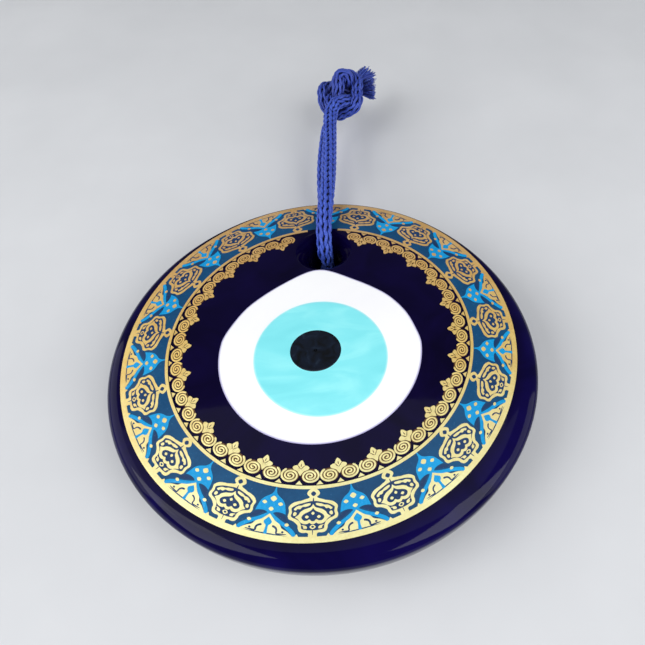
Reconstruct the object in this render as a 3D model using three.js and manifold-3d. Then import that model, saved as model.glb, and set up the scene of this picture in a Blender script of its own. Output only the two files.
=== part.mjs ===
// Evil eye ornament: a domed disc of dark blue glass with an inlaid glass eye and a fired ring decal,
// hung on a loop of knitted cord that passes through a hole above the eye and ends in an overhand knot.
// Millimetres, +Z up. The face looks along -Y. The origin is where a peg takes the loop, under the knot.
//
// The disc's sub-parts are drawn in the disc's own frame: x to the right, y up the face, z out of the
// face, with the origin at the centre of the printed border and z = 0 at the border's outer edge.

import * as THREE from 'three';
import { mergeVertices } from 'three/addons/utils/BufferGeometryUtils.js';
import Module from 'manifold-3d';

const wasm = await Module();
wasm.setup();

// ---- Driving dimensions ----

// Disc
const BORDER_RADIUS = 46.5;
const BODY_RADIUS = 49.9;
const BODY_CENTRE = new THREE.Vector2(0.6, -2.3);
const OVAL = 0.022;
const OVAL_ANGLE = THREE.MathUtils.degToRad(-20);
const CROWN = 3.2;
const BACK = -12.1;
const WIDEST = -2.6;
const BACK_ROUNDING = 2.4;
const FACE_RADIUS = BORDER_RADIUS + 0.3;
const TURNS = 60;

// Hole: a funnel in the face, a straight bore and a rounded mouth in the back
const HOLE_CENTRE = new THREE.Vector2(-1.6, 27.9);
const HOLE_RADIUS = 4.5;
const FUNNEL_RADIUS = 7.1;
const FUNNEL_DEPTH = 4.6;
const BACK_MOUTH_RADIUS = 6.5;
const BACK_MOUTH_DEPTH = 3.2;

// Eye, each drop let into the one under it. The white drop is round below and drawn out to a blunt
// point above.
const DROP_CENTRE = new THREE.Vector2(0.4, -3.2);
const DROP_RADIUS = 23.6;
const DROP_ARC = [175, 365];
const DROP_SHOULDERS = [
  [22.95, 2.0], [20.3, 7.5], [16.1, 12.25], [11.5, 15.3], [6.3, 17.85], [1.2, 20.1],
  [-2.2, 20.65], [-5.6, 19.5], [-10.8, 15.9], [-15.5, 11.9], [-19.1, 7.8], [-22.0, 2.3],
];
const IRIS = { centre: [0.62, -5.2], radii: [15.3, 15.9], tilt: 50 };
const PUPIL = { centre: [-0.62, -4.0], radii: [6.15, 5.8], tilt: -6 };
const FIT = 0.3;
const DROP_STEPS = 36;
const DROP_DEPTH = 3.4;
const IRIS_DEPTH = 2.3;
const PUPIL_DEPTH = 1.2;

// Decal: thin fired layers, the motifs printed over the ground
const MOTIFS = 15;
const MOTIF_PITCH = 360 / MOTIFS;
const FIRST_MEDALLION = 80.6;
const GROUND_LOW = 0.06;
const GROUND_HIGH = 0.2;
const PRINT_LOW = 0.26;
const PRINT_HIGH = 0.4;
const DECAL_GAP = 0.3;

// Decal radii, as shares of the border's
const BORDER_INNER = 0.975;
const BAND_INNER = 0.777;
const LINE_INNER = 0.7625;
const LACE_OUTER = 0.7565;

// The lace is a row of scroll pairs, open at the funnel. The gold line is open there too.
const LACE_PAIRS = 24;
const LACE_PITCH = 14;
const FIRST_PALMETTE = 113.6;
const LINE_OPENING = [87.5, 100.5];

// Half outlines. In the band: degrees from the motif's axis, and the share of the way across the band.
const MEDALLION_HALF = [
  [0.75, 0.01], [1.5, 0.03], [2.0, 0.09], [1.1, 0.17], [2.7, 0.225], [4.6, 0.265], [6.85, 0.365],
  [7.1, 0.41], [6.8, 0.52], [6.95, 0.58], [6.6, 0.645], [4.9, 0.705], [3.85, 0.83], [3.4, 0.895],
  [1.6, 0.915], [1.1, 0.955],
];
const FLORET_HALF = [
  [0.12, 0.01], [0.5, 0.11], [1.2, 0.175], [2.7, 0.25], [3.6, 0.33], [4.05, 0.43], [4.4, 0.54], [2.2, 0.525],
  [0.6, 0.54],
];
const CREST_HALF = [[0.6, 0.615], [2.0, 0.715], [3.6, 0.81], [4.6, 0.87], [6.3, 0.955], [7.0, 1]];
// In the lace: degrees from the palmette's axis, and share of the border's radius.
const LACE_HALF = [[0.6, 0.655], [1.4, 0.672], [2.9, 0.68], [3.6, 0.6885], [5.3, 0.69], [6.7, 0.7]];
const PALMETTE_TIP = 0.65;

// Cord
const CORD_RADIUS = 2.2;
const CORD_SIDES = 8;
const CORD_PIVOT = new THREE.Vector2(-1.6, 29.4);
const HANG_HEIGHT = 60.1;
const LOOP_PLANE = -5.3;
const LEAN = THREE.MathUtils.degToRad(-3.8);
const END_GAP = 0.3;

// ---- Materials ----

const FINISHES = {
  navyGlass: { color: 0x0c0546, roughness: 0.06, metalness: 0 },
  whiteGlass: { color: 0xf7f6fb, roughness: 0.08, metalness: 0 },
  turquoiseGlass: { color: 0x86eef6, roughness: 0.08, metalness: 0 },
  blackGlass: { color: 0x05070f, roughness: 0.06, metalness: 0 },
  tealInk: { color: 0x134c78, roughness: 0.3, metalness: 0 },
  blueInk: { color: 0x19a5e6, roughness: 0.3, metalness: 0 },
  gold: { color: 0xf0c86e, roughness: 0.28, metalness: 1 },
  cord: { color: 0x3c56b8, roughness: 0.85, metalness: 0 },
};

function addMesh(parent, name, geometry, finish) {
  const mesh = new THREE.Mesh(geometry, new THREE.MeshStandardMaterial(FINISHES[finish]));
  mesh.name = name;
  parent.add(mesh);
  return mesh;
}

// ---- Solids ----

function toSolid(geometry) {
  const bare = geometry.clone();
  bare.deleteAttribute('normal');
  bare.deleteAttribute('uv');
  const merged = mergeVertices(bare, 1e-4);
  return new wasm.Manifold(new wasm.Mesh({
    numProp: 3,
    vertProperties: new Float32Array(merged.attributes.position.array),
    triVerts: new Uint32Array(merged.index.array),
  }));
}

function toGeometry(solid) {
  const mesh = solid.getMesh();
  const geometry = new THREE.BufferGeometry();
  geometry.setAttribute('position', new THREE.BufferAttribute(new Float32Array(mesh.vertProperties), 3));
  geometry.setIndex(new THREE.BufferAttribute(new Uint32Array(mesh.triVerts), 1));
  geometry.computeVertexNormals();
  return geometry;
}

// A turned solid about the z axis. The profile is a list of [radius, z] with the solid on its left.
function turned(profile, turns = TURNS) {
  const points = profile.map(([radius, z]) => new THREE.Vector2(radius, z));
  return new THREE.LatheGeometry(points, turns).rotateX(Math.PI / 2);
}

// A straight prism of an outline in the x-y plane, from z = low to z = high.
function prism(shape, low, high, curveSegments = 12) {
  const options = { depth: high - low, bevelEnabled: false, curveSegments };
  return new THREE.ExtrudeGeometry(shape, options).translate(0, 0, low);
}

function faceHeight(radius) {
  return CROWN * (1 - (radius / BORDER_RADIUS) ** 2);
}

// Lets a flat layer follow the domed face.
function drape(geometry) {
  const position = geometry.attributes.position;
  for (let i = 0; i < position.count; i += 1) {
    const radius = Math.hypot(position.getX(i), position.getY(i));
    position.setZ(i, position.getZ(i) + faceHeight(radius));
  }
  return geometry;
}

function polar(radius, degrees) {
  const angle = THREE.MathUtils.degToRad(degrees);
  return new THREE.Vector2(radius * Math.cos(angle), radius * Math.sin(angle));
}

// ---- Glass disc ----

// Distance from the centre of the printed border to the disc's edge: a slightly oval body, set off centre.
function bodyReach(angle) {
  const along = BODY_CENTRE.x * Math.cos(angle) + BODY_CENTRE.y * Math.sin(angle);
  const across = BODY_CENTRE.lengthSq() - along ** 2;
  const radius = BODY_RADIUS * (1 + OVAL * Math.cos(2 * (angle - OVAL_ANGLE)));
  return along + Math.sqrt(radius ** 2 - across);
}

function bodyProfile() {
  const profile = [[0, BACK]];
  const arcSteps = 6;
  for (let i = 0; i <= arcSteps; i += 1) {
    const turn = (i / arcSteps) * (Math.PI / 2);
    const radius = BODY_RADIUS - BACK_ROUNDING * (1 - Math.sin(turn));
    profile.push([radius, WIDEST + (BACK - WIDEST) * Math.cos(turn)]);
  }
  for (let i = 1; i <= arcSteps; i += 1) {
    const turn = (i / arcSteps) * (Math.PI / 2);
    const radius = FACE_RADIUS + (BODY_RADIUS - FACE_RADIUS) * Math.cos(turn);
    profile.push([radius, WIDEST + (faceHeight(FACE_RADIUS) - WIDEST) * Math.sin(turn)]);
  }
  for (const radius of [44, 40, 36, 31, 25, 18, 10]) {
    profile.push([radius, faceHeight(radius)]);
  }
  profile.push([0, faceHeight(0)]);
  return profile;
}

function makeBody() {
  const geometry = turned(bodyProfile());
  const position = geometry.attributes.position;
  for (let i = 0; i < position.count; i += 1) {
    const x = position.getX(i);
    const y = position.getY(i);
    const radius = Math.hypot(x, y);
    if (radius > FACE_RADIUS) {
      const angle = Math.atan2(y, x);
      const stretch = (bodyReach(angle) - FACE_RADIUS) / (BODY_RADIUS - FACE_RADIUS);
      const reach = FACE_RADIUS + (radius - FACE_RADIUS) * stretch;
      position.setXY(i, (x * reach) / radius, (y * reach) / radius);
    }
  }
  return toSolid(geometry);
}

function makeHole() {
  const face = faceHeight(HOLE_CENTRE.length());
  const profile = [[0, BACK - 1], [BACK_MOUTH_RADIUS, BACK - 1]];
  const steps = 5;
  for (let i = steps; i >= 0; i -= 1) {
    const turn = (i / steps) * (Math.PI / 2);
    const radius = HOLE_RADIUS + (BACK_MOUTH_RADIUS - HOLE_RADIUS) * (1 - Math.cos(turn));
    profile.push([radius, BACK + BACK_MOUTH_DEPTH * (1 - Math.sin(turn))]);
  }
  for (let i = 0; i <= steps; i += 1) {
    const part = i / steps;
    const radius = HOLE_RADIUS + (FUNNEL_RADIUS - HOLE_RADIUS) * part ** 2;
    profile.push([radius, face - FUNNEL_DEPTH * (1 - part)]);
  }
  profile.push([FUNNEL_RADIUS + 0.8, face + 2], [0, face + 2]);
  return toSolid(turned(profile, 30).translate(HOLE_CENTRE.x, HOLE_CENTRE.y, 0));
}

// ---- Eye ----

// grow widens an outline all round.
function dropOutline(grow) {
  const [from, to] = DROP_ARC;
  const points = [];
  for (let i = 0; i <= DROP_STEPS; i += 1) {
    points.push(polar(DROP_RADIUS, from + ((to - from) * i) / DROP_STEPS).add(DROP_CENTRE));
  }
  const shoulders = DROP_SHOULDERS.map(([x, y]) => new THREE.Vector2(x, y));
  const top = new THREE.SplineCurve([points[DROP_STEPS], ...shoulders, points[0]]);
  points.push(...top.getPoints(DROP_STEPS).slice(1, -1));
  for (const point of points) {
    point.add(point.clone().sub(DROP_CENTRE).setLength(grow));
  }
  return new THREE.Shape(points);
}

function ovalOutline({ centre: [x, y], radii: [long, short], tilt }, grow) {
  const shape = new THREE.Shape();
  shape.absellipse(x, y, long + grow, short + grow, 0, 2 * Math.PI, false, THREE.MathUtils.degToRad(tilt));
  return shape;
}

const irisOutline = (grow) => ovalOutline(IRIS, grow);
const pupilOutline = (grow) => ovalOutline(PUPIL, grow);

// The part of the body inside an outline, down to a flat floor at a depth below the face's crown.
function inlay(body, outline, depth) {
  const floor = CROWN - depth;
  return body.intersect(toSolid(prism(outline(0), floor, CROWN + 5)));
}

function pocket(outline, depth) {
  const floor = CROWN - depth;
  return toSolid(prism(outline(FIT), floor - FIT, CROWN + 6));
}

function buildGlass(disc) {
  const body = makeBody();
  const hole = makeHole();
  const glass = body.subtract(hole).subtract(pocket(dropOutline, DROP_DEPTH));
  const drop = inlay(body, dropOutline, DROP_DEPTH).subtract(hole).subtract(pocket(irisOutline, IRIS_DEPTH));
  const iris = inlay(body, irisOutline, IRIS_DEPTH).subtract(pocket(pupilOutline, PUPIL_DEPTH));
  addMesh(disc, 'glass_disc', toGeometry(glass), 'navyGlass');
  addMesh(disc, 'white_glass_drop', toGeometry(drop), 'whiteGlass');
  addMesh(disc, 'turquoise_glass_iris', toGeometry(iris), 'turquoiseGlass');
  addMesh(disc, 'black_glass_pupil', toGeometry(inlay(body, pupilOutline, PUPIL_DEPTH)), 'blackGlass');
}

// ---- Decal ----

// A ring lying on the dome between two radii and two heights above the glass.
function ringLayer(inner, outer, low, high, steps = 1) {
  const profile = [];
  for (let i = 0; i <= steps; i += 1) {
    const radius = inner + ((outer - inner) * i) / steps;
    profile.push([radius, faceHeight(radius) + low]);
  }
  for (let i = steps; i >= 0; i -= 1) {
    const radius = inner + ((outer - inner) * i) / steps;
    profile.push([radius, faceHeight(radius) + high]);
  }
  profile.push(profile[0].slice());
  return turned(profile);
}

// The part of a ring layer inside an outline.
function cutLayer(shape, inner, outer, low, high) {
  const layer = toSolid(ringLayer(inner, outer, low, high, 2));
  return toGeometry(layer.intersect(toSolid(prism(shape, -CROWN, 2 * CROWN, TURNS))));
}

// Half an outline seen on the other side of its axis. Points are [degrees from the axis, radius].
function mirrored(half) {
  return half.map(([degrees, radius]) => [-degrees, radius]).reverse();
}

function acrossBand([degrees, part]) {
  return [degrees, BORDER_RADIUS * (BAND_INNER + (BORDER_INNER - BAND_INNER) * part)];
}

// The border ring with a pointed crest between every two medallions.
function borderOutline() {
  const half = CREST_HALF.map(acrossBand);
  const crest = [...mirrored(half), ...half];
  const edge = [];
  for (let i = 0; i < MOTIFS; i += 1) {
    const axis = FIRST_MEDALLION + MOTIF_PITCH * (i + 0.5);
    edge.push(...crest.map(([degrees, radius]) => polar(radius, axis + degrees)));
    edge.push(polar(BORDER_RADIUS * BORDER_INNER, axis + MOTIF_PITCH / 2));
  }
  const outline = new THREE.Shape();
  outline.absarc(0, 0, BORDER_RADIUS + 1, 0, 2 * Math.PI, false);
  outline.holes.push(new THREE.Path(edge));
  return outline;
}

// A band of scroll pairs with a pointed palmette between the two scrolls of each pair.
function laceOutline() {
  const pair = LACE_HALF.map(([degrees, share]) => [degrees, BORDER_RADIUS * share]);
  const edge = [...mirrored(pair), [0, BORDER_RADIUS * PALMETTE_TIP], ...pair];
  const inner = [];
  for (let i = 0; i < LACE_PAIRS; i += 1) {
    const axis = FIRST_PALMETTE + LACE_PITCH * i;
    inner.push(...edge.map(([degrees, radius]) => polar(radius, axis + degrees)));
  }
  const first = FIRST_PALMETTE - LACE_PITCH / 2;
  const outer = [];
  for (let i = TURNS; i >= 0; i -= 1) {
    outer.push(polar(BORDER_RADIUS * LACE_OUTER, first + (LACE_PITCH * LACE_PAIRS * i) / TURNS));
  }
  return new THREE.Shape([...inner, ...outer]);
}

function lineLayer() {
  const ring = ringLayer(BORDER_RADIUS * LINE_INNER, BORDER_RADIUS * BAND_INNER, GROUND_LOW, GROUND_HIGH);
  const [from, to] = LINE_OPENING;
  const corners = [new THREE.Vector2(0, 0), polar(BODY_RADIUS, from), polar(BODY_RADIUS, to)];
  const opening = new THREE.Shape(corners);
  return toGeometry(toSolid(ring).subtract(toSolid(prism(opening, -CROWN, 2 * CROWN))));
}

// Lays a motif of the band on the dome, with its axis at the given angle.
function motif(half, axis) {
  const right = half.map(acrossBand);
  const outline = [...right, ...mirrored(right)].map(([degrees, radius]) => polar(radius, axis - degrees));
  return drape(prism(new THREE.Shape(outline), PRINT_LOW, PRINT_HIGH));
}

function buildDecal(disc) {
  const tealInner = BORDER_RADIUS * BAND_INNER + DECAL_GAP;
  const teal = ringLayer(tealInner, BORDER_RADIUS * (BORDER_INNER + 0.01), GROUND_LOW, GROUND_HIGH, 3);
  const crestTip = BORDER_RADIUS * BAND_INNER;
  const border = cutLayer(borderOutline(), crestTip, BORDER_RADIUS, PRINT_LOW, PRINT_HIGH);
  const laceInner = BORDER_RADIUS * (PALMETTE_TIP - 0.01);
  const lace = cutLayer(laceOutline(), laceInner, BORDER_RADIUS * LACE_OUTER, GROUND_LOW, GROUND_HIGH);
  addMesh(disc, 'decal_teal_band', teal, 'tealInk');
  addMesh(disc, 'decal_gold_border', border, 'gold');
  addMesh(disc, 'decal_gold_line', lineLayer(), 'gold');
  addMesh(disc, 'decal_gold_lace', lace, 'gold');
  for (let i = 0; i < MOTIFS; i += 1) {
    const label = String(i + 1).padStart(2, '0');
    const axis = FIRST_MEDALLION + MOTIF_PITCH * i;
    addMesh(disc, `decal_medallion_${label}`, motif(MEDALLION_HALF, axis), 'gold');
    addMesh(disc, `decal_floret_${label}`, motif(FLORET_HALF, axis + MOTIF_PITCH / 2), 'blueInk');
  }
}

// ---- Cord ----

// Routes are [x, y, z] from the peg, y to the back. The loop's two ends lie on the axis it swings about.
const LOOP_ROUTE = [
  [0, -3.7, 0], [0.9, -5.5, -14], [1.1, -7.4, -28], [1.0, -9.3, -40], [0.7, -10.0, -47], [0.3, -9.8, -53],
  [0.1, -8.2, -57.6], [0, -4.6, -59.9], [0, 0, -60.3], [0, 4.0, -60.2], [0, 7.4, -58.9], [-0.1, 9.5, -55.4],
  [-0.4, 9.9, -50], [-0.8, 9.9, -44], [-1.5, 9.1, -36], [-2.2, 7.2, -25], [-2.0, 5.2, -13], [0, 3.7, 0],
];
const NECK_ROUTES = {
  front: [[0.6, -3.6, 2.8], [1.8, -3.3, 6.0], [3.0, -3.0, 9.5]],
  back: [[-0.3, 3.5, 2.8], [0.2, 2.9, 6.0], [1.0, 2.6, 10.5]],
};
const KNOT_CENTRE = new THREE.Vector3(3.6, -0.9, 15.2);
const KNOT_RADII = new THREE.Vector3(7.2, 7.4, 8.8);
const KNOT_TURNS = [
  { tiltX: 0.5, tiltY: 0.2, radius: 5.4 },
  { tiltX: 1.3, tiltY: -0.5, radius: 5.6 },
];
const TAIL_ROUTES = {
  front: [[5.5, -2.4, 21.5], [9.5, -2.2, 23.0], [14.5, -2.0, 24.2]],
  back: [[5.5, 2.4, 18.6], [9.5, 2.2, 19.2], [14.5, 2.0, 19.8]],
};

function tube(points, steps) {
  const section = new THREE.Shape();
  for (let i = 0; i < CORD_SIDES; i += 1) {
    const corner = polar(CORD_RADIUS, (360 * (i + 0.5)) / CORD_SIDES);
    if (i === 0) {
      section.moveTo(corner.x, corner.y);
    } else {
      section.lineTo(corner.x, corner.y);
    }
  }
  section.closePath();
  const extrudePath = new THREE.CatmullRomCurve3(points);
  return new THREE.ExtrudeGeometry(section, { steps, extrudePath, bevelEnabled: false });
}

// The loop ends in round caps centred on the axis it swings about.
function loopSolid() {
  const points = LOOP_ROUTE.map((point) => new THREE.Vector3(...point));
  let loop = toSolid(tube(points, 30));
  for (const end of [points[0], points[points.length - 1]]) {
    const cap = new THREE.SphereGeometry(CORD_RADIUS, 10, 6).translate(end.x, end.y, end.z);
    loop = loop.add(toSolid(cap));
  }
  return toGeometry(loop);
}

// The knot is a rounded lump with the cord's outer turns standing out of it.
function knotSolid() {
  const lump = new THREE.SphereGeometry(1, 16, 10).scale(KNOT_RADII.x, KNOT_RADII.y, KNOT_RADII.z);
  let knot = toSolid(lump);
  for (const { tiltX, tiltY, radius } of KNOT_TURNS) {
    const turn = new THREE.TorusGeometry(radius, CORD_RADIUS, 8, 16);
    turn.rotateX(tiltX).rotateY(tiltY);
    knot = knot.add(toSolid(turn));
  }
  return knot.translate(KNOT_CENTRE.x, KNOT_CENTRE.y, KNOT_CENTRE.z);
}

function buildLoop(parent) {
  addMesh(parent, 'cord_loop', loopSolid(), 'cord');
}

function buildCordTop(parent) {
  const knot = knotSolid();
  for (const name of ['front', 'back']) {
    const neck = NECK_ROUTES[name].map((point) => new THREE.Vector3(...point));
    addMesh(parent, `cord_neck_${name}`, clearOf(tube(neck, 4), knot), 'cord');
    const tail = TAIL_ROUTES[name].map((point) => new THREE.Vector3(...point));
    addMesh(parent, `cord_tail_${name}`, clearOf(tube(tail, 3), knot), 'cord');
  }
  addMesh(parent, 'cord_knot', toGeometry(knot), 'cord');
}

// Cuts a tube back from the knot by the gap that separate meshes keep.
function clearOf(geometry, knot) {
  const grown = 1 + END_GAP / KNOT_RADII.x;
  const zone = knot
    .translate(-KNOT_CENTRE.x, -KNOT_CENTRE.y, -KNOT_CENTRE.z)
    .scale(grown)
    .translate(KNOT_CENTRE.x, KNOT_CENTRE.y, KNOT_CENTRE.z);
  return toGeometry(toSolid(geometry).subtract(zone));
}

// ---- Assembly ----

const ornament = new THREE.Group();

// The disc hangs from the cord's lowest point, turned in its own plane so that it balances there.
const hanger = new THREE.Group();
hanger.position.set(0, 0, -HANG_HEIGHT);
hanger.rotation.x = Math.PI / 2;
const leaning = new THREE.Group();
leaning.rotation.z = LEAN;
const disc = new THREE.Group();
disc.position.set(-CORD_PIVOT.x, -CORD_PIVOT.y, -LOOP_PLANE);
ornament.add(hanger);
hanger.add(leaning);
leaning.add(disc);

buildGlass(disc);
buildDecal(disc);
buildLoop(ornament);
buildCordTop(ornament);

export default ornament;
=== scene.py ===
"""Evil eye ornament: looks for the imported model. Metres in the row frame; shapes are drawn in millimetres."""
import math

import bpy
import numpy as np
from mathutils import Matrix, Vector
from mathutils.geometry import tessellate_polygon


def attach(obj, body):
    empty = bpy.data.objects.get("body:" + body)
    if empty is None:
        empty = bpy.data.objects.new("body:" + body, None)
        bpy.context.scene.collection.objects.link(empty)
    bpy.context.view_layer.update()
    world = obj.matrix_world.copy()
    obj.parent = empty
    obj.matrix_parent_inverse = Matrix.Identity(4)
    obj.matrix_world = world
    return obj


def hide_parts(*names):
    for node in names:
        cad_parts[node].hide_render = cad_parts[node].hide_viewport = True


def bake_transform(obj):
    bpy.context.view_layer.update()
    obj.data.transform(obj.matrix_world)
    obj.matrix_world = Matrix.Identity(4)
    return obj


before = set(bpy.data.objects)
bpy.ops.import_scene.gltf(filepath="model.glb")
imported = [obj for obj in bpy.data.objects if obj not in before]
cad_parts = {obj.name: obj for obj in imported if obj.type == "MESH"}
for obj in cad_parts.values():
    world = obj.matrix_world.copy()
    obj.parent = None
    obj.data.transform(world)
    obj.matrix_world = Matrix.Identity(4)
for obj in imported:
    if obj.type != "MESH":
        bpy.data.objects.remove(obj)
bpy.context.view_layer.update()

MM = 0.001

# The disc's own frame: x to the right, y up the face, z out of the face, origin at the border's centre.
CORD_PIVOT = np.array((-1.6, 29.4, -5.3))
HANG_HEIGHT = 60.1
LEAN = math.radians(-3.8)

# Camera: its place and its right, up and backward directions in the disc's frame
LENS = 33.94
SENSOR_WIDTH = 36
SHIFT = -0.1307
CAMERA_PLACE = (21.4, -78.7, 122.1)
CAMERA_AXES = ((1.0, 0.0039, -0.0056), (0, 0.8215, 0.5702), (0.0069, -0.5702, 0.8215))

# Soft boxes aimed at the border's centre: place in the disc's frame in mm, size in metres, power in watts
LIGHTS = {
    "left_front": ((-400, -230, 420), (0.42, 0.4), 1.75),
    "right_front": ((360, -250, 420), (0.36, 0.4), 1.75),
    "overhead_sheen": ((-60, 40, 520), (0.8, 0.3), 0.42),
    "left_key": ((-620, 60, 300), (0.5, 0.6), 1.1),
    "right_key": ((600, -60, 220), (0.35, 0.5), 0.8),
    "back_fill": ((260, 260, -420), (0.5, 0.5), 0.8),
    "low_fill": ((-40, -640, 200), (0.8, 0.3), 1.2),
}
UNMIRRORED_LIGHT = "low_fill"
STUDIO_TINT = (0.82, 0.86, 0.92, 1)
STUDIO_STRENGTH = 0.22
BOARD_SIDE = 0.5
BOARD_LOW = -0.45
BOARD_HIGH = 0.5
BOARD_DEPTH = 0.0135

# Glass body
BORDER_RADIUS = 46.5
FACE_RADIUS = 46.8
BODY_RADIUS = 49.9
BODY_CENTRE = np.array((0.6, -2.3))
OVAL = 0.022
OVAL_ANGLE = math.radians(-20)
CROWN = 3.2
BACK = -12.1
WIDEST = -2.6
BACK_ROUNDING = 2.4
HOLE_CENTRE = np.array((-1.6, 27.9))
HOLE_RADIUS = 4.5
FUNNEL_RADIUS = 7.1
LIP_RADIUS = 7.7
LIP_DROP = 0.25
FUNNEL_DEPTH = 4.6
FUNNEL_FLOOR_STEP = 0.4
BACK_MOUTH_RADIUS = 6.5
BACK_MOUTH_DEPTH = 3.2
RIM_FADE = 2.5
DISC_COLUMNS = 288

# Eye: the white drop's outline, and the centre, half widths and tilt of its ovals
DROP_CENTRE = np.array((0.4, -3.2))
DROP_RADIUS = 23.6
DROP_LEAVES = (175, 365)
DROP_SHOULDERS = [
    (22.95, 2.0), (20.3, 7.5), (16.1, 12.25), (11.5, 15.3), (6.3, 17.85), (1.2, 20.1), (-2.2, 20.65),
    (-5.6, 19.5), (-10.8, 15.9), (-15.5, 11.9), (-19.1, 7.8), (-22.0, 2.3),
]
IRIS = ((0.62, -5.2), (15.3, 15.9), 50)
PUPIL = ((-0.62, -4.0), (6.15, 5.8), -6)
DROP_PROUD = 0.05
IRIS_PROUD = 0.08
PUPIL_PROUD = 0.11
DROP_INSETS = (0.0, 0.05, 0.12, 0.25, 0.45, 0.8, 1.5)
DROP_ROUNDING = 0.45
DROP_SUNK = 0.03
DROP_MIDDLE = 5.0

# Decal: radii as shares of the border's radius, angles in degrees
BAND_INNER = 0.777
BAND_OUTER = 0.975
LINE_INNER = 0.7625
LINE_ARC = (100.5, 360 + 87.5)
MOTIFS = 15
MOTIF_PITCH = 360 / MOTIFS
FIRST_MEDALLION = 80.6
LACE_PAIRS = 24
LACE_PITCH = 14.0
FIRST_PALMETTE = 113.6
SCROLL_RADIUS = 0.719
SCROLL_OFFSET = 3.55
SCROLL_WIDTH = 3.2
SCROLL_HEIGHT = 0.0305
SCROLL_TURNS = 2.6
SCROLL_SHRINK = 0.93
SCROLL_START = math.radians(-60)

# Heights of the paint above the glass, in mm, and how far each patch's edge reaches into the glass
BAND_COAT = 0.04
GROUND_COAT = 0.05
WING_COAT = 0.065
BUD_COAT = 0.085
ARM_COAT = 0.09
FIRST_COAT = 0.1
SECOND_COAT = 0.12
CREST_DOT_COAT = 0.125
VEIN_COAT = 0.13
THIRD_COAT = 0.14
CREST_COAT = 0.15
FOURTH_COAT = 0.155
TOP_COAT = 0.17
SUNK = 0.02

# Cord: each strand's centreline from the middle of the hole to the knot, as x, y, z of the row frame in mm
CORD_DIAMETER = 4.4
FRONT_ROUTE = [
    (0, 0, -60.3), (0, -4.6, -59.9), (0.1, -8.2, -57.6), (0.3, -9.8, -53), (0.7, -10.0, -47),
    (1.0, -9.3, -40), (1.1, -7.4, -28), (0.9, -5.5, -14), (0.7, -3.7, 0), (1.4, -3.6, 2.8),
    (2.1, -3.3, 6.0),
]
BACK_ROUTE = [
    (0, 0, -60.3), (0, 4.0, -60.2), (0, 7.4, -58.9), (-0.1, 9.5, -55.4), (-0.4, 9.9, -50),
    (-0.8, 9.9, -44), (-1.5, 9.1, -36), (-2.2, 7.2, -25), (-2.2, 5.2, -13), (-1.2, 3.7, 0),
    (-0.6, 3.5, 2.8), (0.2, 2.9, 6.0),
]
# The line midway between the two strands through the knot, and where each strand is cut
KNOT_ROUTE = [
    (3.8, -2.5, 9.3), (4.9, 0.5, 16.9), (5.4, 2.6, 23.4), (4.2, 1.0, 22.9), (1.6, -1.5, 15.3),
    (-0.4, -1.0, 10.6), (-0.1, 2.0, 9.8), (1.9, 2.8, 9.1), (3.9, 0.0, 6.2), (5.5, -2.5, 8.0),
    (6.6, -3.2, 14.2), (6.2, -3.0, 20.2), (4.6, -3.6, 17.1), (4.5, -3.0, 12.4), (5.9, 0.5, 16.8),
    (8.1, 0.5, 21.3),
]
TAIL_ENDS = {"front": (11.0, -1.0, 22.9), "back": (10.8, 1.0, 20.1)}
PAIR_SPACING = 3.1
ROUTE_STEP = 0.8
# The front strand's twist in radians at distances along it, so that its stitches face the viewer
FRONT_TWIST = ((8, 32, 60), (0, -0.85, -1.1))

# How the knot is drawn tight: the strands' least distance and the shares moved in each round
STRAND_GAP = 3.3
KNOT_ROUNDS = 260
KNOT_PULL = 0.0012
KNOT_PUSH = 0.16
KNOT_SMOOTHING = 0.14
KNOT_END_HOLD = 0.3
NEIGHBOURS = 6
HELD_POINTS = 5
HELD_TAIL = 3

# Stitches: columns round the cord, and the yarn's swing, overlap and depth in each stitch
WALES = 4
STITCH_HEIGHT = 2.75
STITCH_SAMPLES = 18
STITCH_SWING = 0.2
STITCH_OVERLAP = 0.8
STITCH_DEPTH = 0.28
STITCH_RISE = 0.27
YARN_RADIUS = 0.44
YARN_SIDES = 7
CORE_SHARE = 0.27
CORE_SIDES = 10

# Cut ends
FILAMENTS = 320
FILAMENT_LENGTHS = (4.0, 6.0)
FILAMENT_RADII = (0.19, 0.12)
FILAMENT_BEND = 0.3
FRAY_OVERLAP = 1.2
FRAY_RADIUS = 1.6
FRAY_SPREAD = 2.1


def disc_turn():
    """The disc's frame turned into the row's axes, as a 3 by 3 matrix."""
    c, s = math.cos(LEAN), math.sin(LEAN)
    lean = np.array(((c, -s, 0), (s, c, 0), (0, 0, 1)))
    stand = np.array(((1, 0, 0), (0, 0, -1), (0, 1, 0)))
    return stand @ lean


def to_row(points):
    """Points of the disc's frame in millimetres, as points of the row frame in metres."""
    turned = (np.asarray(points, float) - CORD_PIVOT) @ disc_turn().T
    return (turned - (0, 0, HANG_HEIGHT)) * MM


# ---- Mesh helpers ----


def make_object(name, points, faces, materials, smooth=True, values=None, face_slots=None):
    """A mesh object from points in metres. values holds one number per point under each name."""
    mesh = bpy.data.meshes.new(name)
    mesh.from_pydata(np.asarray(points, float).tolist(), [], [tuple(f) for f in faces])
    mesh.polygons.foreach_set("use_smooth", [smooth] * len(mesh.polygons))
    for m in materials:
        mesh.materials.append(m)
    if face_slots is not None:
        mesh.polygons.foreach_set("material_index", face_slots)
    for key, numbers in (values or {}).items():
        attribute = mesh.attributes.new(key, "FLOAT", "POINT")
        attribute.data.foreach_set("value", np.asarray(numbers, np.float32))
    mesh.update()
    obj = bpy.data.objects.new(name, mesh)
    bpy.context.scene.collection.objects.link(obj)
    return obj


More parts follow.
